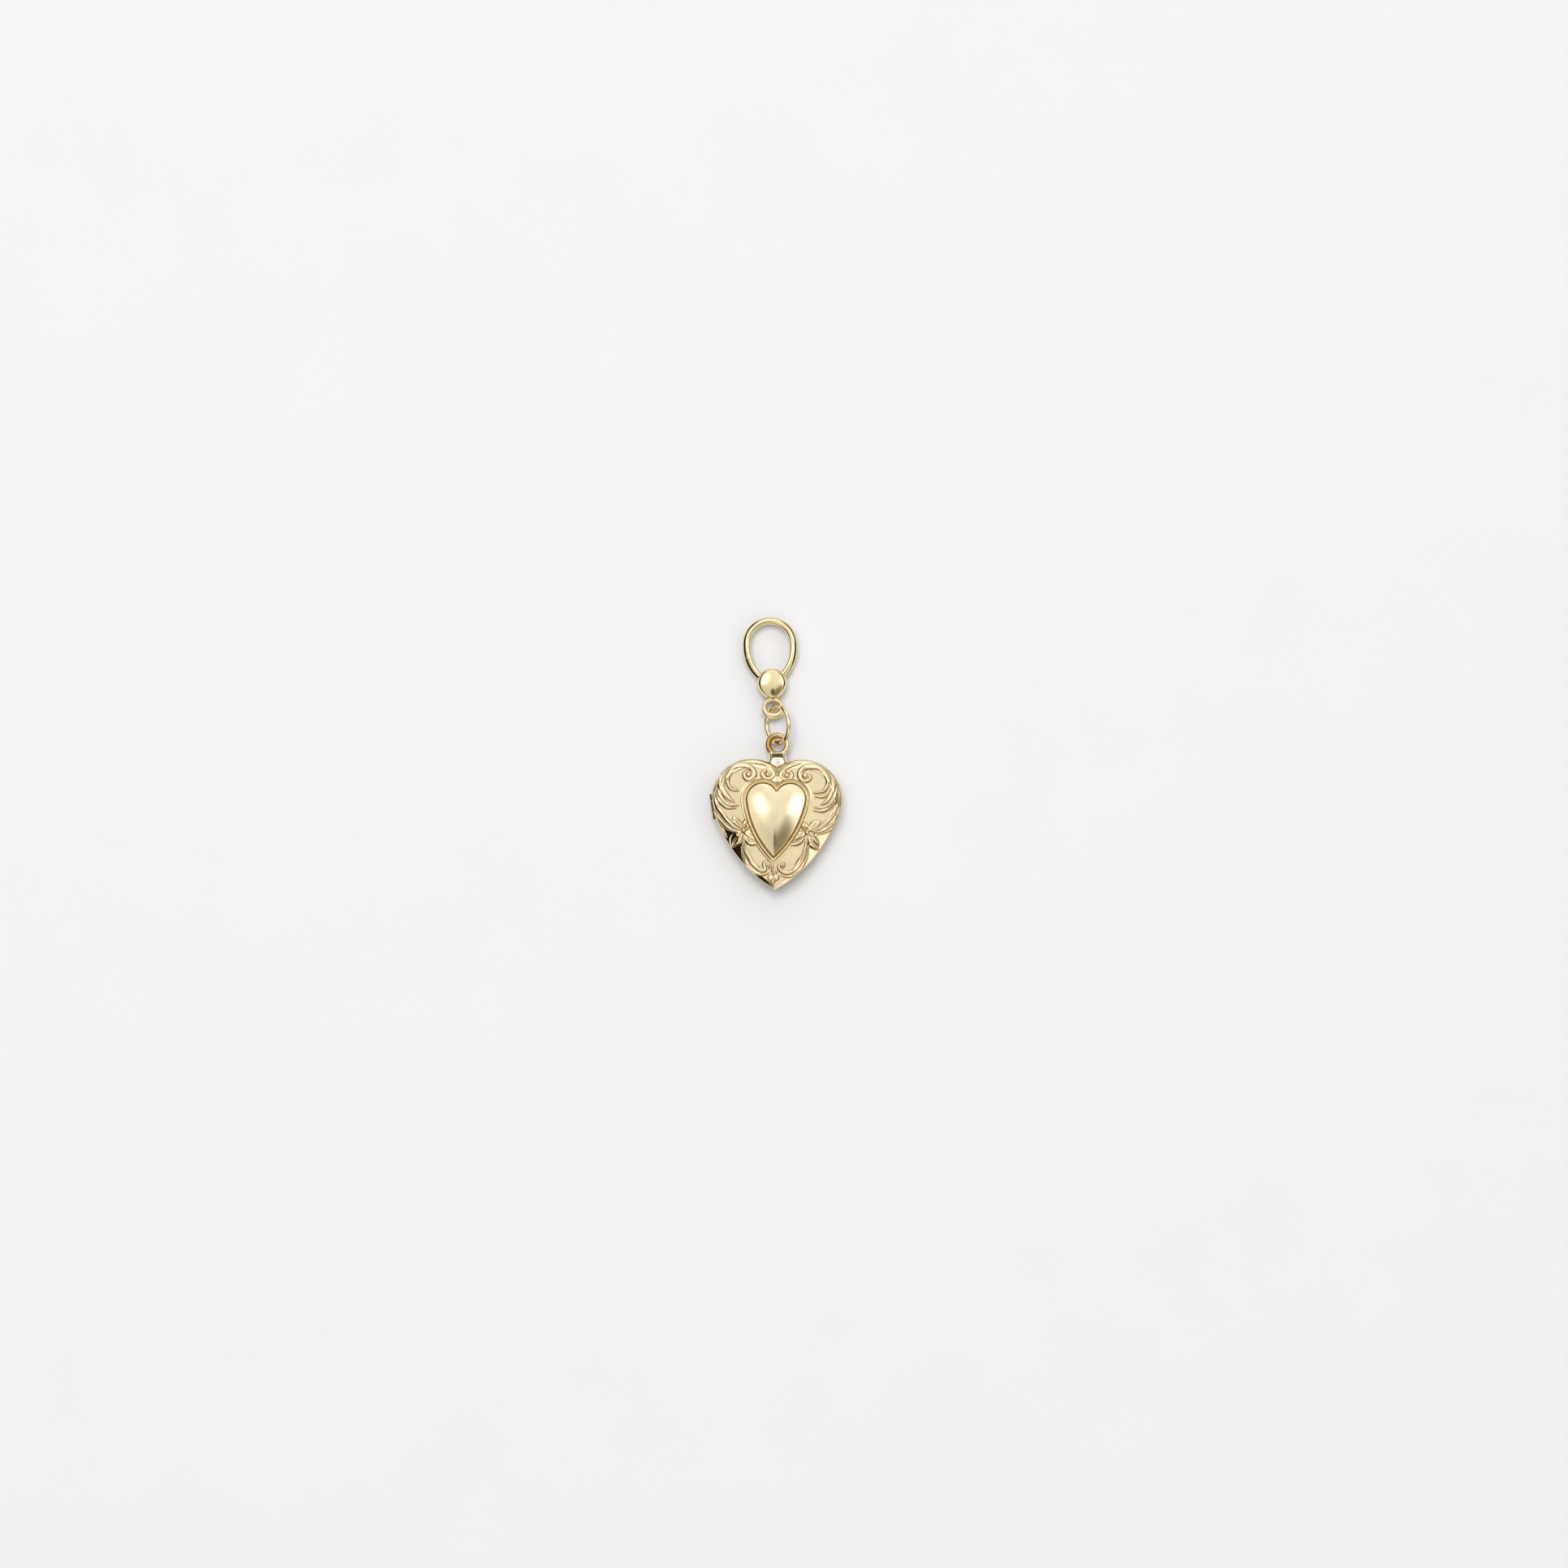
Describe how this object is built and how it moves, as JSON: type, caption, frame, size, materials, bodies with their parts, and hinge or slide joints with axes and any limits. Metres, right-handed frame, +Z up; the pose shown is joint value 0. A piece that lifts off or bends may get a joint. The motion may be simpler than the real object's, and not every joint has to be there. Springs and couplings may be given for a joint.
{
  "type": "heart locket charm",
  "caption": "Hollow hinged heart locket, raised heart and scrollwork on its cover, on a split jump ring and a spring clasp, lying flat",
  "frame": {"origin": "on the surface the charm lies on, below the middle of its bounding box", "axes": "+Y along the row from the heart's tip toward the clasp, +Z up out of the cover, +X to the right seen from above"},
  "size_m": [0.0205, 0.0422, 0.0061],
  "materials": {
    "gold": "polished"
  },
  "bodies": {
    "base": {"locket_back": "gold", "hinge_pin": "gold", "jump_ring": "gold", "clasp_frame": "gold", "gate_pin": "gold"},
    "cover": {"locket_front": "gold"},
    "gate": {"clasp_gate": "gold"}
  },
  "joints": [
    {"name": "cover_hinge", "type": "hinge", "parent": "base", "child": "cover", "pos_m": [-0.00966, -0.0083, 0.0025], "axis": [0.1564, -0.9877, 0], "range_deg": [0, 150]},
    {"name": "gate_pivot", "type": "hinge", "parent": "base", "child": "gate", "pos_m": [-0.00222, 0.01148, 0.0016], "axis": [0, 0, -1], "range_deg": [0, 25], "stiffness_Nm_per_rad": 0.000002, "springref_deg": -20.05}
  ]
}
